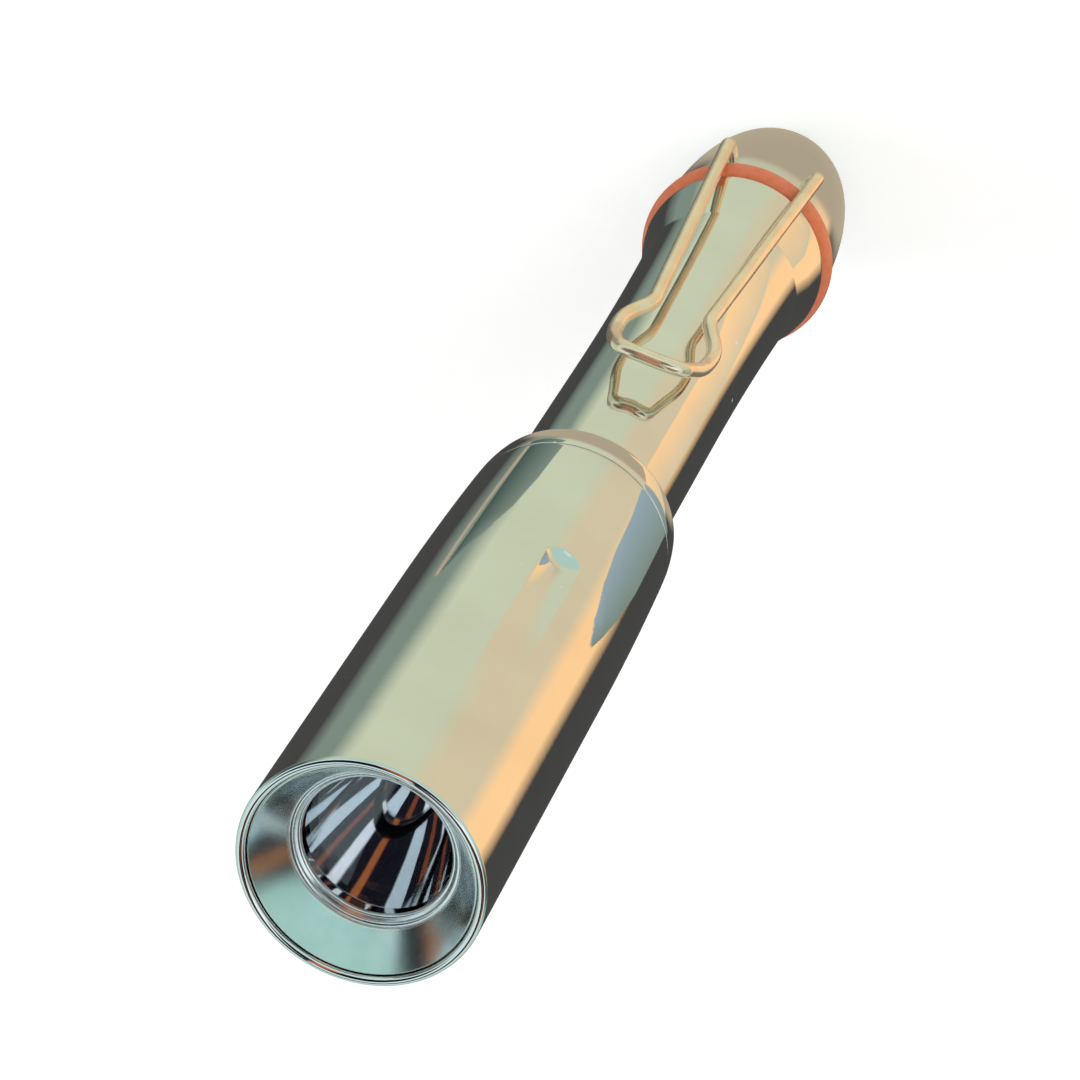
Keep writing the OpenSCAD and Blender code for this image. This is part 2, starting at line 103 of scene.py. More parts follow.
def link(name, verts, faces, body, slot, material):
    """Makes the piece from points in millimetres and faces, smooths it with normals along the sum of the area
    vectors of the faces round each point, and sets its body and material. Its slot argument is not used."""
    verts = np.asarray(verts, float) * MM
    tris = np.vstack([f[:, [0, 1, 2]] if f.shape[1] == 3 else np.vstack([f[:, [0, 1, 2]], f[:, [0, 2, 3]]])
                      for f in faces])
    area = np.cross(verts[tris[:, 1]] - verts[tris[:, 0]], verts[tris[:, 2]] - verts[tris[:, 0]])
    if (area * verts[tris[:, 0]]).sum() < 0:
        faces = [f[:, ::-1] for f in faces]
        area = -area
    normals = np.zeros_like(verts)
    for k in range(3):
        np.add.at(normals, tris[:, k], area)
    normals /= np.maximum(np.linalg.norm(normals, axis=1), 1e-30)[:, None]
    mesh = bpy.data.meshes.new(name)
    mesh.from_pydata(verts.tolist(), [], [row for f in faces for row in f.tolist()])
    mesh.polygons.foreach_set("use_smooth", np.ones(len(mesh.polygons), bool))
    mesh.normals_split_custom_set_from_vertices(normals.tolist())
    mesh.update()
    obj = bpy.data.objects.new(name, mesh)
    bpy.context.scene.collection.objects.link(obj)
    obj.data.materials.append(material)
    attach(obj, body)
    return obj


def grid_faces(rows, cols, close_rows, close_cols):
    """Quads of a grid of points numbered row by row, joined round where it closes."""
    i = np.arange(rows if close_rows else rows - 1)[:, None]
    j = np.arange(cols if close_cols else cols - 1)[None, :]
    i2, j2 = (i + 1) % rows, (j + 1) % cols
    quads = np.stack([i * cols + j, i2 * cols + j, i2 * cols + j2, i * cols + j2], -1)
    return quads.reshape(-1, 4)


def turned(profile, sides=192):
    """Closed profile turned about the z axis: (r cos a, r sin a, z) for evenly spaced angles a."""
    a = np.linspace(0, 2 * np.pi, sides, endpoint=False)
    r, z = profile[:, :1], profile[:, 1:]
    points = np.stack([r * np.cos(a), r * np.sin(a), z + 0 * a], -1)
    return points.reshape(-1, 3), [grid_faces(len(profile), sides, True, True)]


def turned_solid(profile, sides=192):
    """Profile that starts and ends on the z axis, turned about it, with one point at each pole."""
    a = np.linspace(0, 2 * np.pi, sides, endpoint=False)
    inner = profile[1:-1]
    r, z = inner[:, :1], inner[:, 1:]
    points = np.stack([r * np.cos(a), r * np.sin(a), z + 0 * a], -1).reshape(-1, 3)
    n = len(points)
    points = np.vstack([points, [[0, 0, profile[0, 1]], [0, 0, profile[-1, 1]]]])
    j = np.arange(sides)
    first = np.column_stack([np.full(sides, n), j, (j + 1) % sides])
    last = n - sides + j
    final = np.column_stack([np.full(sides, n + 1), n - sides + (j + 1) % sides, last])
    return points, [grid_faces(len(inner), sides, False, True), first, final]


def torus(ring, section, z, sides=192, around=32):
    """Ring of circular section: radius ring + section cos b at height z + section sin b, turned about z."""
    return turned(arc((ring, z), section, 0, 360, around)[:-1], sides)


def swept(path, radius, side, sides=24, end_round=0.12, end_rings=4):
    """Round wire along a path: circles in planes square to it, whose side vector is carried along without
    twist. Both ends close on one point, over an edge rounded like a quarter of a circle."""
    p = np.asarray(path, float)
    t = np.gradient(p, axis=0)
    t /= np.linalg.norm(t, axis=1)[:, None]
    s = np.zeros_like(p)
    carry = np.asarray(side, float)
    for i in range(len(p)):
        carry = carry - (carry @ t[i]) * t[i]
        carry = carry / np.linalg.norm(carry)
        s[i] = carry
    w = np.cross(t, s)
    inwards = np.linspace(0, 1, end_rings, endpoint=False)
    narrowed = radius - end_round * (1 - np.sqrt(1 - (1 - inwards) ** 2))
    steps = end_round * inwards[:, None]
    centres = np.vstack([p[0] + t[0] * steps, p[1:-1], (p[-1] - t[-1] * steps)[::-1]])
    radii = np.concatenate([narrowed, np.full(len(p) - 2, radius), narrowed[::-1]])
    at = np.concatenate([np.zeros(end_rings, int), np.arange(1, len(p) - 1), np.full(end_rings, len(p) - 1)])
    k = np.linspace(0, 2 * np.pi, sides, endpoint=False)[None, :, None]
    circles = np.cos(k) * s[at][:, None] + np.sin(k) * w[at][:, None]
    points = (centres[:, None] + radii[:, None, None] * circles).reshape(-1, 3)
    n = len(points)
    points = np.vstack([points, p[:1], p[-1:]])
    j = np.arange(sides)
    first = np.column_stack([np.full(sides, n), (j + 1) % sides, j])
    final = np.column_stack([np.full(sides, n + 1), n - sides + j, n - sides + (j + 1) % sides])
    return points, [grid_faces(len(centres), sides, False, True), first, final]


# Materials

def linear(hexa):
    """sRGB hex to linear red, green, blue and alpha."""
    c = np.array([int(hexa[i:i + 2], 16) for i in (1, 3, 5)]) / 255
    c = np.where(c <= 0.04045, c / 12.92, ((c + 0.055) / 1.055) ** 2.4)
    return (*c.tolist(), 1.0)


def put(tree, kind, inputs=(), **settings):
    """Adds a node, sets its settings, and fills its sockets from values or from other nodes' sockets."""
    node = tree.nodes.new(kind)
    for key, value in settings.items():
        setattr(node, key, value)
    for key, value in dict(inputs).items():
        if isinstance(value, bpy.types.NodeSocket):
            tree.links.new(value, node.inputs[key])
        else:
            node.inputs[key].default_value = value
    return node


def new_material(name, **sockets):
    """Material with a Principled shader whose named sockets are set."""
    mat = bpy.data.materials.new(name)
    mat.use_nodes = True
    tree = mat.node_tree
    shader = tree.nodes["Principled BSDF"]
    for key, value in sockets.items():
        shader.inputs[key.replace("_", " ")].default_value = value
    return mat, tree, shader


def millimetres(tree, scale=(1, 1, 1)):
    """Object coordinates in millimetres, stretched by scale."""
    coord = put(tree, "ShaderNodeTexCoord")
    return put(tree, "ShaderNodeMapping", {"Vector": coord.outputs["Object"],
                                           "Scale": tuple(s / MM for s in scale)}).outputs["Vector"]


def ramp(tree, factor, stops):
    """Colour ramp with (place, hex) stops."""
    node = put(tree, "ShaderNodeValToRGB", {"Fac": factor})
    elements = node.color_ramp.elements
    while len(elements) < len(stops):
        elements.new(0.5)
    for element, (place, colour) in zip(elements, stops):
        element.position = place
        element.color = linear(colour)
    return node.outputs["Color"]


def mirror_polished_steel(name, tint, rough):
    """Steel polished on a wheel: it mirrors the room, with a faint haze of fingerprints and polishing lines
    and a few dull specks of dust."""
    mat, tree, shader = new_material(name, Metallic=1.0)
    haze = put(tree, "ShaderNodeTexNoise", {"Vector": millimetres(tree), "Scale": 0.12, "Detail": 4.0})
    lines = put(tree, "ShaderNodeTexNoise", {"Vector": millimetres(tree, (0.6, 0.6, 9)), "Scale": 1.0,
                                             "Detail": 3.0})
    smears = put(tree, "ShaderNodeMath", {0: haze.outputs["Fac"], 1: lines.outputs["Fac"]},
                 operation="MULTIPLY")
    roughness = put(tree, "ShaderNodeMapRange", {"Value": smears.outputs[0], "From Min": 0.15,
                                                 "From Max": 0.4, "To Min": rough * 0.6,
                                                 "To Max": rough * 1.6})
    tree.links.new(roughness.outputs["Result"], shader.inputs["Roughness"])
    tone = ramp(tree, haze.outputs["Fac"], [(0.3, tint[0]), (0.7, tint[1])])
    tree.links.new(tone, shader.inputs["Base Color"])
    cells = put(tree, "ShaderNodeTexVoronoi", {"Vector": millimetres(tree), "Scale": 0.2, "Randomness": 1.0})
    dust = put(tree, "ShaderNodeMapRange", {"Value": cells.outputs["Distance"], "From Min": 0.03,
                                            "From Max": 0.045, "To Min": 0.35, "To Max": 1.0})
    tree.links.new(dust.outputs["Result"], shader.inputs["Metallic"])
    bump = put(tree, "ShaderNodeBump", {"Height": lines.outputs["Fac"], "Strength": 0.02,
                                        "Distance": 0.02 * MM})
    tree.links.new(bump.outputs["Normal"], shader.inputs["Normal"])
    return mat


def warm_reflection_wire():
    """Nickel-plated spring wire, drawn smooth and softer than the mirror polish round it, with a painted warm
    reflection: its tan and cream base colour stands in for the warm surroundings that the wire mirrors.
    """
    mat, tree, shader = new_material("spring_wire_with_painted_warm_reflection", Metallic=0.8)
    painted_reflection_noise = put(tree, "ShaderNodeTexNoise", {"Vector": millimetres(tree), "Scale": 0.35, "Detail": 3.0})
    # Painted reflection: noise mixes two close warm shades, tan to cream, that stand in for warm surroundings
    # mirrored in the wire, and it also varies the roughness.
    tree.links.new(ramp(tree, painted_reflection_noise.outputs["Fac"], [(0.35, "#f8dcb8"), (0.65, "#fdeacc")]),
                   shader.inputs["Base Color"])
    roughness = put(tree, "ShaderNodeMapRange", {"Value": painted_reflection_noise.outputs["Fac"], "To Min": 0.16,
                                                 "To Max": 0.26})
    tree.links.new(roughness.outputs["Result"], shader.inputs["Roughness"])
    return mat


def silicone_seal(name, shade_a, shade_b, rough):
    """Moulded silicone rubber: a soft sheen over a slightly uneven colour, with fine dust in its skin."""
    mat, tree, shader = new_material(name, IOR=1.42)
    mottle = put(tree, "ShaderNodeTexNoise", {"Vector": millimetres(tree), "Scale": 1.4, "Detail": 5.0})
    tree.links.new(ramp(tree, mottle.outputs["Fac"], [(0.35, shade_a), (0.65, shade_b)]),
                   shader.inputs["Base Color"])
    roughness = put(tree, "ShaderNodeMapRange", {"Value": mottle.outputs["Fac"], "To Min": rough - 0.08,
                                                 "To Max": rough + 0.12})
    tree.links.new(roughness.outputs["Result"], shader.inputs["Roughness"])
    grain = put(tree, "ShaderNodeTexNoise", {"Vector": millimetres(tree), "Scale": 9.0, "Detail": 3.0})
    bump = put(tree, "ShaderNodeBump", {"Height": grain.outputs["Fac"], "Strength": 0.15,
                                        "Distance": 0.05 * MM})
    tree.links.new(bump.outputs["Normal"], shader.inputs["Normal"])
    return mat


def grained(name, shade_a, shade_b, rough, metallic=0.0, scale=3.0, bump_mm=0.01, ior=1.5):
    """Plain finish with a fine grain: two close shades and an uneven surface at the given scale per mm."""
    mat, tree, shader = new_material(name, Metallic=metallic)
    if not metallic:
        shader.inputs["IOR"].default_value = ior
    noise = put(tree, "ShaderNodeTexNoise", {"Vector": millimetres(tree), "Scale": scale, "Detail": 4.0})
    tree.links.new(ramp(tree, noise.outputs["Fac"], [(0.35, shade_a), (0.65, shade_b)]),
                   shader.inputs["Base Color"])
    roughness = put(tree, "ShaderNodeMapRange", {"Value": noise.outputs["Fac"], "To Min": rough * 0.8,
                                                 "To Max": rough * 1.2})
    tree.links.new(roughness.outputs["Result"], shader.inputs["Roughness"])
    bump = put(tree, "ShaderNodeBump", {"Height": noise.outputs["Fac"], "Strength": 0.3,
                                        "Distance": bump_mm * MM})
    tree.links.new(bump.outputs["Normal"], shader.inputs["Normal"])
    return mat


def lens_glass():
    """Toughened float glass, ground at its edge and polished on both faces."""
    mat, tree, shader = new_material("toughened_lens_glass", Roughness=0.0, IOR=1.5,
                                     Transmission_Weight=1.0)
    smudge = put(tree, "ShaderNodeTexNoise", {"Vector": millimetres(tree), "Scale": 0.5, "Detail": 3.0})
    tree.links.new(ramp(tree, smudge.outputs["Fac"], [(0.3, "#f4f8fa"), (0.7, "#fbfdff")]),
                   shader.inputs["Base Color"])
    return mat


def clear_dome():
    """Moulded clear silicone over the emitter, with a faint violet cast."""
    mat, tree, shader = new_material("clear_silicone_dome", Roughness=0.05, IOR=1.41,
                                     Transmission_Weight=1.0)
    cast = put(tree, "ShaderNodeTexNoise", {"Vector": millimetres(tree), "Scale": 1.0})
    tree.links.new(ramp(tree, cast.outputs["Fac"], [(0.3, "#e4e0fa"), (0.7, "#efecff")]),
                   shader.inputs["Base Color"])
    return mat


MATERIALS = {}


def finish_of(key):
    """Makes each finish once, on first use."""
    if key in MATERIALS:
        return MATERIALS[key]
    make = {
        "steel": lambda: mirror_polished_steel("mirror_polished_stainless", ("#e4e2dc", "#ebeae4"), 0.035),
        "wire": warm_reflection_wire,
        "satin": lambda: grained("fine_turned_stainless", "#e4e8e4", "#eef0ec", 0.24, 1.0, 3.0, 0.002),
        "buffed": lambda: grained("buffed_stainless", "#d4e2e2", "#dce8e7", 0.17, 1.0, 0.6, 0.0005),
        "reflector": lambda: mirror_polished_steel("vacuum_coated_aluminium", ("#e9e9ea", "#f4f4f5"), 0.04),
        "orange": lambda: silicone_seal("orange_silicone", "#d7744c", "#df7e55", 0.4),
        "seal": lambda: silicone_seal("black_nitrile", "#1b1b1c", "#242425", 0.5),
        "glass": lens_glass,
        "dome": clear_dome,
        "ceramic": lambda: grained("fired_ceramic", "#e6e2d4", "#f0ece0", 0.5, scale=6.0, ior=1.6),
        "white": lambda: grained("white_nylon", "#dcdad2", "#e8e6de", 0.45, scale=4.0),
        "black": lambda: grained("black_glass_filled_nylon", "#151516", "#202022", 0.55, scale=6.0),
        "mask": lambda: grained("green_solder_mask", "#0e4a2b", "#14603a", 0.25, scale=2.0),
        "sleeve": lambda: grained("printed_cell_sleeve", "#15304f", "#1c3c62", 0.3, scale=1.0),
        "red": lambda: grained("silicone_wire_sleeve", "#8e1a14", "#a3241c", 0.4, scale=5.0),
        "brass": lambda: grained("turned_brass", "#b98f4a", "#cda35c", 0.28, 1.0, 2.5),
        "gold": lambda: grained("gold_plated_spring_wire", "#d8b060", "#e6c276", 0.22, 1.0, 5.0),
    }
    MATERIALS[key] = make[key]()
    return MATERIALS[key]


# Settings

def length(name, text, mm):
    """Length property in metres."""
    return bpy.props.FloatProperty(name=name, description=text, default=mm * MM, subtype="DISTANCE",
                                   unit="LENGTH", precision=5)


def hue(name, text, hexa):
    """Colour property."""
    return bpy.props.FloatVectorProperty(name=name, description=text, default=linear(hexa)[:3], size=3,
                                         subtype="COLOR", min=0.0, max=1.0)


class PenlightSizes(bpy.types.PropertyGroup):
    head: length("Head diameter", "Outside diameter of the head", 18)
    tube: length("Tube diameter", "Outside diameter of the bare tube", 13.6)
    cap: length("Cap diameter", "Outside diameter of the tail cap", 17)
    wire: length("Clip wire", "Diameter of the clip's wire", 1.3)


class PenlightStudio(bpy.types.PropertyGroup):
    floor: hue("Floor", "Colour of the floor", "#f6f6f4")
    fill: bpy.props.FloatProperty(name="Fill", description="Strength of the soft light from all round",
                                  default=0.55, min=0.0, max=3.0)
    key: bpy.props.FloatProperty(name="Key", description="Power of the soft key light", default=0.9,
                                 min=0.0, max=100.0, unit="POWER")


# Shapes shared by several operators, in millimetres

TOTAL = 132.0
SEAM = 80.2
LENS_Z = 127.3
REFLECTOR_Z = 125.8
GASKET_Z = 115.7
STAR_Z = 113.7
CAP_LEN = 17.5
HEAD_R = 9.0
HEAD_REAR_R = 8.65
TAPER_LEN = 19.0
TUBE_R = 6.8
FLARE_R = 7.4
FLARE_LOW = 26.6
FLARE_TOP = 54.6
COLLAR_LOW = 76.8
GROOVE_HALF = 1.55
GROOVE_DEPTH = 0.75
GROOVE_LEN = 26.0
GROOVE_END = 34.4
GROOVE_TURN = 16.0
CAMERA_TURN = 10.9
CAMERA_LENS = 125.93
SENSOR_WIDTH = 36.0


def groove_cut(angle, z, r):
    """Depth of a ball-milled groove at an angle from its middle line: a paraboloid at the ball's end, and
    forward of it a trough of constant width whose depth fades with the square of the way left to go."""
    across = r * angle / GROOVE_HALF
    along = z - (TOTAL - GROOVE_END)
    fade = np.clip(1 - along / GROOVE_LEN, 0, 1) ** 2
    back = np.minimum(along, 0) / GROOVE_HALF
    depth = GROOVE_DEPTH * np.where(along < 0, 1, fade)
    return depth * np.clip(1 - across ** 2 - back ** 2, 0, None)


class PENLIGHT_OT_head(bpy.types.Operator):
    """Head shell: a turned sleeve with a slow taper, a rounded rim and three ball-milled grooves"""
    bl_idname = "penlight.head"
    bl_label = "Head shell"

    def execute(self, context):
        head_r = context.scene.penlight_sizes.head / MM / 2
        bore, rim_r = head_r - 0.7, 0.35
        outer = swing((head_r, SEAM + TAPER_LEN), (HEAD_REAR_R, SEAM), 0, 40)[::-1]
        rim = arc((head_r - rim_r, TOTAL - rim_r), rim_r, 0, 180, 16)
        inner = [(bore, LENS_Z), (7.55, LENS_Z), (7.55, 125), (6.9, 125), (6.9, 112.1), (7.2, 112.1)]
        profile = spread(eased(np.vstack([[(7.2, SEAM)], outer, rim, inner]), 0.12), 2.0)
        # Heights lie closest together at the grooves' rear ends, and angles near the grooves' middle lines
        low, high = TOTAL - GROOVE_END - 2.1, TOTAL - GROOVE_END + GROOVE_LEN + 1
        outside = (profile[:, 0] > 8.3) & (profile[:, 1] > SEAM) & (profile[:, 1] < TOTAL - 1)
        first, last = np.flatnonzero(outside)[[0, -1]]
        wall = profile[first:last + 1]
        heights = np.unique(np.round(np.concatenate([wall[:, 1], np.linspace(low, low + 5, 70),
                                                     np.linspace(low + 5, high, 90)]), 4))
        wall = np.column_stack([np.interp(heights, wall[:, 1], wall[:, 0]), heights])
        profile = np.vstack([profile[:first], wall, profile[last + 1:]])
        fine = 12.5
        near = np.radians(np.linspace(-fine, fine, 60))
        far = np.radians(np.linspace(fine, 120 - fine, 26))[1:-1]
        third = np.concatenate([near, far])
        turn = -math.radians(GROOVE_TURN)
        angle = np.concatenate([third + turn + k * 2 * np.pi / 3 for k in range(3)])
        r = np.repeat(profile[:, :1], len(angle), 1)
        z = np.repeat(profile[:, 1:], len(angle), 1)
        local = np.tile(third[None, :], (len(profile), 3))
        band = np.zeros(len(profile), bool)
        band[first:first + len(wall)] = True
        r = np.where(band[:, None], r - groove_cut(local, z, r), r)
        points = np.stack([r * np.sin(angle), -r * np.cos(angle), z], -1).reshape(-1, 3)
        shell = link("head_shell_polished", points, [grid_faces(len(profile), len(angle), True, True)],
                     "head", "polished_steel", finish_of("steel"))
        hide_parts("head_shell")
        return {"FINISHED"}


class PENLIGHT_OT_bezel(bpy.types.Operator):
    """Bezel: the screwed ring with a flared mouth and the stepped lip that frames the lens"""
    bl_idname = "penlight.bezel"
    bl_label = "Bezel ring"

    def execute(self, context):
        out_r = context.scene.penlight_sizes.head / MM / 2 - 0.75
        funnel = swing((out_r - 0.15, 131.7), (6.2, 128.8), -0.6, 40)
        lip = np.vstack([arc((6.12, 128.5), (0.27, 0.22), 75, 190, 10),
                         arc((5.68, 128.02), (0.23, 0.3), 90, 180, 10)])
        profile = np.vstack([[(5.45, LENS_Z), (6.13, LENS_Z), (6.13, 128.0), (7.07, 128.0), (7.07, LENS_Z),
                              (out_r, LENS_Z), (out_r, 131.55)], funnel, lip])
        profile = eased(profile, 0.05, 4)
        sides = 256
        ring = link("bezel_ring_polished", *turned(profile, sides), "head", "polished_steel",
                    finish_of("steel"))
        ring.data.materials.append(finish_of("satin"))
        ring.data.materials.append(finish_of("buffed"))
        # The lip is satin, the funnel in front of it buffed, and the rest mirror polished
        satin = (profile[:, 0] < 6.35) & (profile[:, 1] > LENS_Z + 0.05)
        buffed = (profile[:, 0] < out_r - 0.12) & (profile[:, 1] > 128.6) & ~satin
        kind = 1 * (satin & np.roll(satin, -1)) + 2 * (buffed & np.roll(buffed | satin, -1))
        ring.data.polygons.foreach_set("material_index", np.repeat(kind, sides))
        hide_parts("bezel_ring")
        return {"FINISHED"}


class PENLIGHT_OT_optics(bpy.types.Operator):
    """Lens and reflector: a flat glass disc with ground edges over a smooth parabolic bowl"""
    bl_idname = "penlight.optics"
    bl_label = "Lens and reflector"

    def execute(self, context):
        edge = [(0, REFLECTOR_Z), (7.5, REFLECTOR_Z), (7.5, LENS_Z - 0.15), (7.35, LENS_Z), (0, LENS_Z)]
        lens = link("lens_disc", *turned_solid(eased(edge, 0.05, 3)), "head", "lens_glass",
                    finish_of("glass"))
        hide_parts("front_lens")
        k = np.linspace(0, 1, 80)
        mouth, hole = 6.05, 1.9
        bowl = np.column_stack([np.sqrt(mouth ** 2 * (1 - k) + hole ** 2 * k), REFLECTOR_Z - 10.1 * k])
        back = [(3.4, GASKET_Z), (6.55, 125), (7.5, 125), (7.5, REFLECTOR_Z)]
        profile = eased(np.vstack([bowl, back]), 0.04, 4)
        bowl = link("reflector_bowl", *turned(profile, 256), "head", "bright_reflector",
                    finish_of("reflector"))
        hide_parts("reflector")
        return {"FINISHED"}


class PENLIGHT_OT_emitter(bpy.types.Operator):
    """Emitter: a ceramic base with rounded edges and a clear dome over it"""
    bl_idname = "penlight.emitter"
    bl_label = "Emitter"

    def execute(self, context):
        top = STAR_Z + 0.8
        dome_r = 1.3
        dome = np.vstack([[(0, top)], arc((0, top), dome_r, 0, 90, 24)])
        dome[-1, 0] = 0
        piece = link("emitter_dome", *turned_solid(dome, 96), "head", "led_dome", finish_of("dome"))
        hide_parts("led_dome")
        body = link("emitter_base", *rounded_block(3.45, STAR_Z, top, 0.12), "head", "led_ceramic",
                    finish_of("ceramic"))
        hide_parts("led_base")
        return {"FINISHED"}


def rounded_block(side, z0, z1, edge):
    """Square block with rounded upright edges and a bevelled top and bottom: rings of a rounded square,
    drawn in by the bevel at each end, closed by a point in the middle of each face."""
    half = side / 2 - edge
    t = np.radians(np.arange(0, 360, 10))
    corner = np.sign(np.round(np.cos(t + 1e-6), 9)), np.sign(np.round(np.sin(t + 1e-6), 9))
    rings = []
    for inset, z in ((edge, z0), (0, z0 + edge), (0, z1 - edge), (edge, z1)):
        k = 1 - inset / (side / 2)
        rings.append(np.column_stack([(corner[0] * half + edge * np.cos(t)) * k,
                                      (corner[1] * half + edge * np.sin(t)) * k, np.full(len(t), z)]))
    n, sides = len(rings) * len(t), len(t)
    points = np.vstack([*rings, [[0, 0, z0], [0, 0, z1]]])
    j = np.arange(sides)
    low = np.column_stack([np.full(sides, n), (j + 1) % sides, j])
    high = np.column_stack([np.full(sides, n + 1), n - sides + j, n - sides + (j + 1) % sides])
    return points, [grid_faces(len(rings), sides, False, True), low, high]


class PENLIGHT_OT_tube(bpy.types.Operator):
    """Battery tube: collar, bare tube, slow flare, steep shoulder and a thin flange, with both spigots"""
    bl_idname = "penlight.tube"
    bl_label = "Battery tube"

    def execute(self, context):
        r = context.scene.penlight_sizes.tube / MM / 2
        flange_low, flange_top = 20.5, 21.4
        flare = swing((r, FLARE_TOP), (FLARE_R, FLARE_LOW), 0, 60)[::-1]
        collar = swing((8.62, SEAM - 0.1), (8.3, COLLAR_LOW), 0, 20)[::-1]
        profile = np.vstack([[(5.4, 12.5), (6.5, 12.5), (6.5, 17.6), (6.3, 17.6), (6.3, flange_low),
                              (8.5, flange_low), (8.5, flange_top)], flare, [(r, COLLAR_LOW)], collar,
                             [(7.15, SEAM - 0.1), (7.15, 81.4), (6.215, 81.4), (6.215, 82.4), (7.15, 82.4),
                              (7.15, 104.5), (5.4, 104.5)]])
        profile = spread(eased(profile, 0.12, 6), 4.0)
        tube = link("battery_tube_polished", *turned(profile, 256), "tube", "polished_steel",
                    finish_of("steel"))
        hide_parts("battery_tube")
        return {"FINISHED"}


class PENLIGHT_OT_seal(bpy.types.Operator):
    """Orange seal between the tube's flange and the tail cap"""
    bl_idname = "penlight.seal"
    bl_label = "Tail seal"

    def execute(self, context):
        ring = link("tail_seal_ring", *torus(7.7, 1.4, 19.0, 256, 48), "tube", "orange_rubber",
                    finish_of("orange"))
        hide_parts("tail_seal")
        return {"FINISHED"}


class PENLIGHT_OT_tail(bpy.types.Operator):
    """Tail cap with its domed end, and the dished button in its flat face"""
    bl_idname = "penlight.tail"
    bl_label = "Tail cap and button"

    def execute(self, context):
        r = context.scene.penlight_sizes.cap / MM / 2
        dome = arc((4.6, 16.2), (r - 4.6, 16.2), -90, 0, 80)
        inner = [(r, CAP_LEN), (6.55, CAP_LEN), (6.55, 12.3), (5.6, 12.3), (5.6, 4.4), (5.0, 4.4), (5.0, 2.2)]
        profile = np.vstack([[(3.4, 2.2), (3.4, 0)], dome, inner])
        profile = spread(eased(profile, 0.15, 6), 1.5)
        cap = link("tail_cap_polished", *turned(profile, 256), "tail_cap", "polished_steel",
                   finish_of("steel"))
        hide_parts("tail_cap")
        dish = swing((0, 0.6), (2.5, 0.3), 0, 16)
        profile = np.vstack([dish, [(3.3, 0.3), (3.3, 2.25), (4.3, 2.25), (4.3, 3.0), (0, 3.0)]])
        button = link("tail_button_polished", *turned_solid(eased(profile, 0.18, 5)), "button",
                      "polished_steel", finish_of("steel"))
        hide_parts("tail_button")
        return {"FINISHED"}


def clip_path():
    """Middle line of the clip's wire: straight runs joined by bends, each bend a parabola that starts and
    ends a given distance from the corner."""
    stand_r, pin_r, foot_z = 10.05, 7.2, 15.4
    turn = math.asin(4.5 / stand_r)
    half = np.array([[pin_r * math.sin(turn), -pin_r * math.cos(turn), foot_z],
                     [stand_r * math.sin(turn), -stand_r * math.cos(turn), foot_z],
                     [2.5, -7.95, 50.4], [4.3, -7.5, 54.2], [4.1, -7.5, 58.0], [2.9, -9.05, 62.4],
                     [1.5, -9.25, 63.0]])
    p = np.vstack([half, half[::-1] * [-1, 1, 1]])
    cut = np.array([0, 1.1, 1.0, 1.6, 1.6, 0.75, 0.7, 0.7, 0.75, 1.6, 1.6, 1.0, 1.1, 0])
    t = np.linspace(0, 1, 15)[:, None]
    out = [p[:1]]
    for i in range(1, len(p) - 1):
        a = p[i] + cut[i] * (p[i - 1] - p[i]) / np.linalg.norm(p[i - 1] - p[i])
        b = p[i] + cut[i] * (p[i + 1] - p[i]) / np.linalg.norm(p[i + 1] - p[i])
        out.append((1 - t) ** 2 * a + 2 * t * (1 - t) * p[i] + t * t * b)
    out.append(p[-1:])
    return np.vstack(out)


class PENLIGHT_OT_clip(bpy.types.Operator):
    """Pocket clip: one bent spring wire whose two ends enter the tail cap"""
    bl_idname = "penlight.clip"
    bl_label = "Pocket clip"

    def execute(self, context):
        radius = context.scene.penlight_sizes.wire / MM / 2
        clip = link("pocket_clip_wire", *swept(clip_path(), radius, (1, 0, 0)), "clip", "spring_steel",
                    finish_of("wire"))
        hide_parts("pocket_clip")
        return {"FINISHED"}


class PENLIGHT_OT_inside(bpy.types.Operator):
    """Finishes of the pieces inside, which keep their own solids"""
    bl_idname = "penlight.inside"
    bl_label = "Inside pieces"

    def execute(self, context):
        finishes = {"lens_seal": "seal", "head_seal": "seal", "emitter_gasket": "white", "star_board": "mask",
                    "pill": "brass", "lead_wires": "red", "driver_board": "mask", "driver_parts": "black",
                    "driver_retainer": "brass", "driver_spring": "gold", "front_cell": "sleeve",
                    "rear_cell": "sleeve", "switch_retainer": "brass", "contact_board": "mask",
                    "tail_spring": "gold", "switch_body": "black", "switch_plunger": "white"}
        for node, key in finishes.items():
            mesh = NODES[node].data
            mesh.materials.clear()
            mesh.materials.append(finish_of(key))
        return {"FINISHED"}


def camera_frame():
    """Camera's place in millimetres, the level way from the light's axis to it, the way up, and the camera's
    three axes in the light's frame, all from where the mouth and the tail are in the picture."""
    # Middle of the mouth, and the way to the tail, in camera axes: x right, y down, z forward
    mouth = np.array([-12.258, 22.721, 256.182])
    tailwards = np.array([0.27117, -0.43631, 0.85796])
    tailwards /= np.linalg.norm(tailwards)
    near = -mouth + (mouth @ tailwards) * tailwards
    near /= np.linalg.norm(near)
    seen = np.column_stack([near, np.cross(-tailwards, near), -tailwards])
    turn = math.radians(CAMERA_TURN)
    facing = np.array([-math.sin(turn), -math.cos(turn), 0])
    up = np.array([0.0, 0.0, 1.0])
    real = np.column_stack([facing, np.cross(up, facing), up])
    to_camera = seen @ real.T
    return TOTAL * up - to_camera.T @ mouth, facing, up, to_camera.T @ np.diag([1.0, -1.0, -1.0])


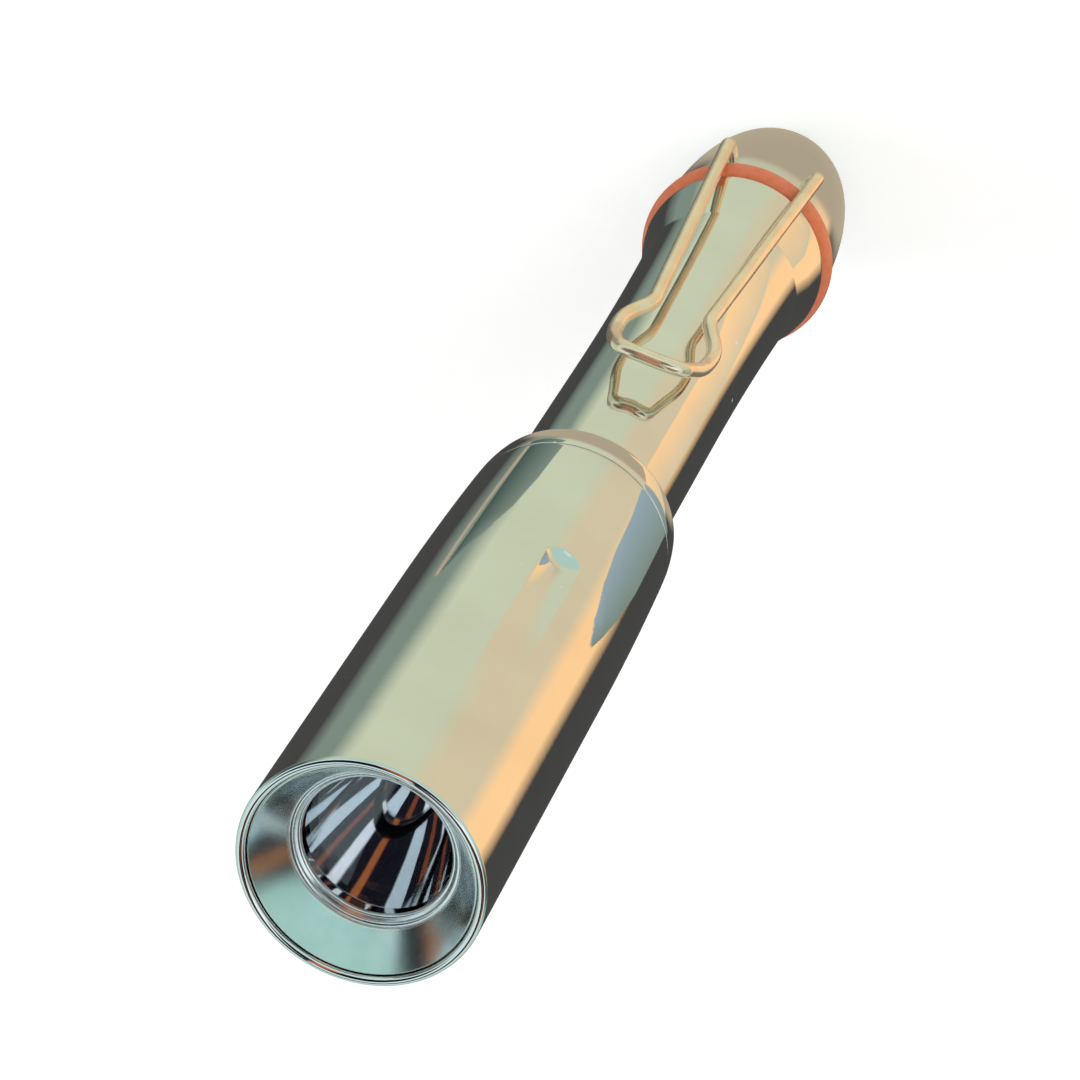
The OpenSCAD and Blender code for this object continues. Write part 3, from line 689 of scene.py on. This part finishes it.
class PENLIGHT_OT_stage(bpy.types.Operator):
    """Pale floor, soft lamps, and the room that the polished steel mirrors"""
    bl_idname = "penlight.stage"
    bl_label = "Studio"

    def execute(self, context):
        studio = context.scene.penlight_studio
        size, aim = 1.5, (0, 0, 0.07)
        mesh = bpy.data.meshes.new("floor")
        mesh.from_pydata([(-size, -size, 0), (size, -size, 0), (size, size, 0), (-size, size, 0)], [],
                         [(0, 1, 2, 3)])
        floor = bpy.data.objects.new("floor", mesh)
        context.scene.collection.objects.link(floor)
        floor.visible_glossy = False
        mat, tree, shader = new_material("pale_paper_sweep", Roughness=0.9)
        grain = put(tree, "ShaderNodeTexNoise", {"Vector": millimetres(tree), "Scale": 0.4})
        tone = put(tree, "ShaderNodeMix", {0: grain.outputs["Fac"], 6: (*studio.floor, 1),
                                           7: linear("#fbfbfa")}, data_type="RGBA")
        tree.links.new(tone.outputs[2], shader.inputs["Base Color"])
        shader.inputs["Emission Color"].default_value = (1, 1, 1, 1)
        shader.inputs["Emission Strength"].default_value = 0.35
        floor.data.materials.append(mat)
        for name, place, width, power in (("key_softbox", (-0.25, -0.35, 0.45), 0.3, studio.key),
                                          ("side_softbox", (0.4, 0.1, 0.3), 0.3, studio.key * 0.5)):
            lamp = bpy.data.lights.new(name, "AREA")
            lamp.shape, lamp.size, lamp.energy = "DISK", width, power
            obj = bpy.data.objects.new(name, lamp)
            context.scene.collection.objects.link(obj)
            obj.location = place
            obj.rotation_euler = (Vector(place) - Vector(aim)).to_track_quat("Z", "Y").to_euler()
            obj.visible_glossy = obj.visible_transmission = False
        room(context.scene, studio.fill)
        place_cards()
        return {"FINISHED"}


# Plain paints of the room
PAINTS = {
    "charcoal": "#404040", "grey": "#788880", "pale_green": "#c0c8b0", "beige": "#ccc0a4", "peach": "#f8cc98",
    "clay": "#a89c88", "slate_blue": "#90a4b0", "teal": "#a8c8c0", "dark_teal": "#405450", "ice": "#c8dce4",
    "snow": "#f0f8ff", "night": "#181820", "rust": "#b0683c", "brown": "#804830",
}

# Cards that stand close to the light, so that only one part of it mirrors each. For each card: how far it
# stands from the surface in millimetres, the paints of its inner and outer side, and rows of a height on the
# light in millimetres and the degrees to the left of the camera's side between which the surface shows it
CARDS = {
    "slate_card": (40, "grey", "dark_teal", [(80.2, 26.5, 44.5), (87, 28, 44.5), (92.4, 31, 44.6),
                                             (97, 36.5, 44.8), (101.5, 43, 45.5), (103.5, 46, 46.5)]),
    "cream_card": (40, "clay", "clay", [(80.2, 44.5, 46.8), (104, 46.5, 48.6)]),
    "blue_card": (40, "slate_blue", "grey", [(80.2, -21, -50), (85, -24, -50), (91, -25.5, -50),
                                             (96, -29, -47.5), (100, -34, -44), (102.5, -39, -41)]),
    "peach_card": (28, "peach", "beige", [(76.5, -23, -45), (52, -23, -45), (44, -16, -41), (38, -11, -37),
                                          (34, -10, -32), (31.5, -13, -27)]),
}
ROOM_STRENGTH = 1.28


def surface(height):
    """Outer radius of the light at a height, and its slope, radius over height. Behind the head's barrel it
    shrinks, and towards the tail it grows, with the square of the way from where the taper begins."""
    if height > SEAM - 0.1:
        begin, end, r, end_r = SEAM + TAPER_LEN, SEAM, HEAD_R, HEAD_REAR_R
    else:
        begin, end, r, end_r = FLARE_TOP, FLARE_LOW, TUBE_R, FLARE_R
    k = max(0.0, begin - height) / (begin - end)
    return r + (end_r - r) * k * k, -2 * (end_r - r) * k / (begin - end)


def mirrored_point(height, degrees, away):
    """Point that the light shows at a height and an angle to the left of the camera's side: from the surface,
    a given way along the ray v - 2 (v n) n, with v the way from the camera and n the outward normal."""
    camera, facing, up = camera_frame()[:3]
    a = math.radians(degrees)
    radial = facing * math.cos(a) + np.cross(up, facing) * math.sin(a)
    r, slope = surface(height)
    point = radial * r + up * height
    normal = (radial - up * slope) / math.hypot(1, slope)
    way = point - camera
    way /= np.linalg.norm(way)
    return point + away * (way - 2 * (way @ normal) * normal)


def place_cards():
    """Makes the cards: strips that glow evenly and that only mirrored rays meet."""
    for name, (away, inner, outer, rows) in CARDS.items():
        verts = [tuple(mirrored_point(height, d, away) * MM) for height, *pair in rows for d in pair]
        mesh = bpy.data.meshes.new(name)
        mesh.from_pydata(verts, [], [(k, k + 1, k + 3, k + 2) for k in range(0, len(verts) - 2, 2)])
        tones = mesh.color_attributes.new("tone", "FLOAT_COLOR", "POINT")
        sides = [linear(PAINTS[inner]), linear(PAINTS[outer])]
        tones.data.foreach_set("color", np.array(sides * len(rows)).ravel())
        card = bpy.data.objects.new(name, mesh)
        bpy.context.scene.collection.objects.link(card)
        card.visible_camera = card.visible_diffuse = False
        card.visible_shadow = card.visible_transmission = False
        mat = bpy.data.materials.new(name)
        mat.use_nodes = True
        tree = mat.node_tree
        tree.nodes.clear()
        tone = put(tree, "ShaderNodeAttribute", attribute_name="tone")
        glow = put(tree, "ShaderNodeEmission", {"Color": tone.outputs["Color"], "Strength": ROOM_STRENGTH})
        put(tree, "ShaderNodeOutputMaterial", {"Surface": glow.outputs[0]})
        card.data.materials.append(mat)


# The room from the floor up: the heights in degrees between which a part of it takes over from the one below,
# how softly its panels meet, and its panels round the light with the place where each ends. The floor is
# plain, the walls are one strip of panels, a teal cloth hangs above them, and over a pale rail is a dark
# ceiling with two windows and two beams.
ROOM = [
    (-90, -90, 0.1, [("clay", 1)]),
    (-68, -64, 0.05, [("charcoal", 0.2), ("grey", 0.3), ("pale_green", 0.5), ("beige", 0.65), ("peach", 0.77),
                      ("charcoal", 1)]),
    (-36, -28, 0.06, [("teal", 0.2), ("dark_teal", 0.3), ("teal", 0.7), ("dark_teal", 0.8), ("teal", 1)]),
    (17, 24, 0.1, [("ice", 1)]),
    (34, 41, 0.02, [("ice", 0.14), ("night", 0.41), ("rust", 0.49), ("night", 0.63), ("snow", 0.74),
                    ("night", 0.85), ("brown", 0.91), ("night", 1)]),
]


def panels(tree, place, soft, row):
    """Colour ramp of panels side by side: each keeps its paint up to half the softness from its ends."""
    stops, start = [], 0.0
    for paint, end in row:
        stops.append((start + soft / 2 if start > 0 else 0.0, PAINTS[paint]))
        stops.append((end - soft / 2 if end < 1 else 1.0, PAINTS[paint]))
        start = end
    return ramp(tree, place, stops)


def room(scene, fill):
    """World light. The camera sees white. Polished steel sees a soft room of painted panels that run once
    round the light: a place of 0.5 faces the camera's side, and 0 and 1 meet behind the light. Noise moves
    the panels' edges by half the waver at most. The steel mirrors downwards, so the walls are below the
    horizon."""
    waver = 0.06
    world = bpy.data.worlds.new("studio_room")
    scene.world = world
    world.use_nodes = True
    tree = world.node_tree
    tree.nodes.clear()
    coord = put(tree, "ShaderNodeTexCoord").outputs["Generated"]
    axes = put(tree, "ShaderNodeSeparateXYZ", {0: coord})
    azimuth = put(tree, "ShaderNodeMath", {0: axes.outputs["Y"], 1: axes.outputs["X"]}, operation="ARCTAN2")
    turns = put(tree, "ShaderNodeMath", {0: azimuth.outputs[0], 1: -1 / (2 * math.pi),
                                         2: 1.25 - waver / 2 - CAMERA_TURN / 360}, operation="MULTIPLY_ADD")
    noise = put(tree, "ShaderNodeTexNoise", {"Vector": coord, "Scale": 2.2, "Detail": 2.0})
    wavered = put(tree, "ShaderNodeMath", {0: noise.outputs["Fac"], 1: waver, 2: turns.outputs[0]},
                  operation="MULTIPLY_ADD")
    place = put(tree, "ShaderNodeMath", {0: wavered.outputs[0], 1: 1.0},
                operation="FLOORED_MODULO").outputs[0]
    rise = put(tree, "ShaderNodeMath", {0: axes.outputs["Z"]}, operation="ARCSINE")
    height = put(tree, "ShaderNodeMath", {0: rise.outputs[0]}, operation="DEGREES").outputs[0]
    colour = panels(tree, place, *ROOM[0][2:])
    for low, high, soft, row in ROOM[1:]:
        part = put(tree, "ShaderNodeMapRange", {"Value": height, "From Min": low, "From Max": high},
                   interpolation_type="SMOOTHSTEP")
        colour = put(tree, "ShaderNodeMix", {0: part.outputs["Result"], 6: colour,
                                             7: panels(tree, place, soft, row)},
                     data_type="RGBA").outputs[2]
    metal = put(tree, "ShaderNodeBackground", {"Color": colour, "Strength": ROOM_STRENGTH})
    plain = put(tree, "ShaderNodeBackground", {"Color": linear("#ffffff"), "Strength": fill})
    white = put(tree, "ShaderNodeBackground", {"Color": linear("#fcfcfc"), "Strength": 1.0})
    path = put(tree, "ShaderNodeLightPath")
    mirrored = put(tree, "ShaderNodeMath", {0: path.outputs["Is Glossy Ray"],
                                            1: path.outputs["Is Transmission Ray"]}, operation="MAXIMUM")
    first = put(tree, "ShaderNodeMixShader", {0: mirrored.outputs[0], 1: plain.outputs[0],
                                              2: metal.outputs[0]})
    last = put(tree, "ShaderNodeMixShader", {0: path.outputs["Is Camera Ray"], 1: first.outputs[0],
                                             2: white.outputs[0]})
    put(tree, "ShaderNodeOutputWorld", {"Surface": last.outputs[0]})


class PENLIGHT_OT_camera(bpy.types.Operator):
    """Camera at the photograph's place, worked out from the outline of the light in the picture"""
    bl_idname = "penlight.camera"
    bl_label = "Camera"

    def execute(self, context):
        place, _, _, axes = camera_frame()
        camera = bpy.data.objects.new("camera", bpy.data.cameras.new("camera"))
        context.scene.collection.objects.link(camera)
        matrix = Matrix(axes.tolist()).to_4x4()
        matrix.translation = (place * MM).tolist()
        camera.matrix_world = matrix
        camera.data.sensor_width = SENSOR_WIDTH
        camera.data.lens = CAMERA_LENS
        camera.data.clip_start, camera.data.clip_end = 0.01, 10.0
        context.scene.camera = camera
        return {"FINISHED"}


class PENLIGHT_PT_panel(bpy.types.Panel):
    """Lists the penlight's settings and its operators"""
    bl_idname = "PENLIGHT_PT_panel"
    bl_label = "Penlight"
    bl_space_type = "VIEW_3D"
    bl_region_type = "UI"
    bl_category = "Penlight"

    def draw(self, context):
        for group in (context.scene.penlight_sizes, context.scene.penlight_studio):
            for key in group.bl_rna.properties.keys():
                if key not in ("rna_type", "name"):
                    self.layout.prop(group, key)
        for operator in OPERATORS:
            self.layout.operator(operator.bl_idname)


OPERATORS = (PENLIGHT_OT_head, PENLIGHT_OT_bezel, PENLIGHT_OT_optics, PENLIGHT_OT_emitter, PENLIGHT_OT_tube,
             PENLIGHT_OT_seal, PENLIGHT_OT_tail, PENLIGHT_OT_clip, PENLIGHT_OT_inside, PENLIGHT_OT_stage,
             PENLIGHT_OT_camera)
CLASSES = (PenlightSizes, PenlightStudio, *OPERATORS, PENLIGHT_PT_panel)


def register():
    for cls in CLASSES:
        bpy.utils.register_class(cls)
    bpy.types.Scene.penlight_sizes = bpy.props.PointerProperty(type=PenlightSizes)
    bpy.types.Scene.penlight_studio = bpy.props.PointerProperty(type=PenlightStudio)


def unregister():
    del bpy.types.Scene.penlight_sizes
    del bpy.types.Scene.penlight_studio
    for cls in reversed(CLASSES):
        bpy.utils.unregister_class(cls)


def main():
    register()
    bpy.context.scene.view_settings.view_transform = "Standard"
    for operator in OPERATORS:
        getattr(bpy.ops.penlight, operator.bl_idname.split(".")[1])()


if __name__ == "__main__":
    main()
